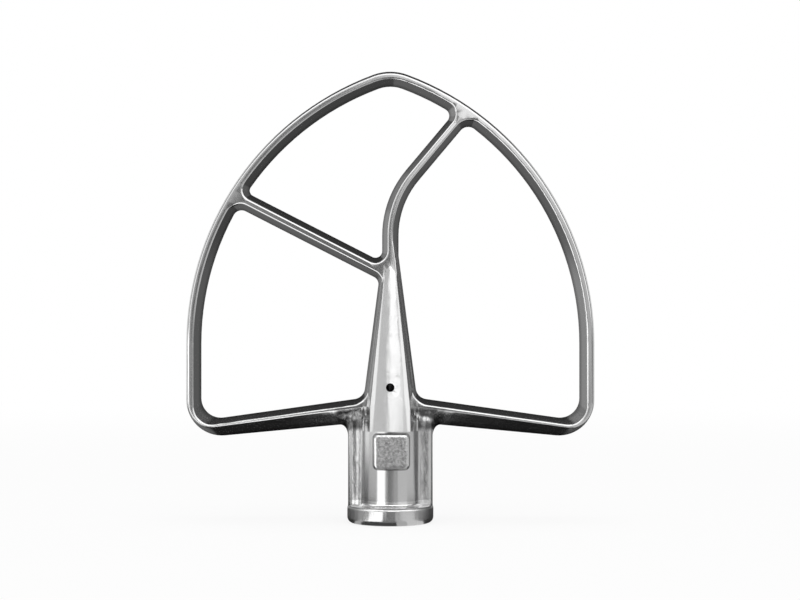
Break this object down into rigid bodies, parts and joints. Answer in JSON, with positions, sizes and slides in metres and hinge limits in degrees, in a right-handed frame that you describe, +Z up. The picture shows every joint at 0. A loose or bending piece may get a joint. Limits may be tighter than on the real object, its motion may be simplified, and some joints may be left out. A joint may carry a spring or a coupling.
{
  "type": "stand mixer flat beater",
  "caption": "Polished one-piece flat beater for a stand mixer: a pointed open loop with a slanted bar and a curved arm on a tapered stem and a socket hub.",
  "frame": {"origin": "centre of the hub's end face, at the mouth of the shaft socket, on which the beater stands", "axes": "+Z up along the shaft's axis towards the point of the loop, X across the loop, -Y the front, which has the vent hole and the pad"},
  "size_m": [0.165, 0.0348, 0.1821],
  "materials": {
    "polished_steel": "mirror-polished cast stainless steel, with as-cast grain left beside the hub and on its pad"
  },
  "bodies": {
    "root": {"flat_beater": "polished_steel"}
  },
  "joints": []
}
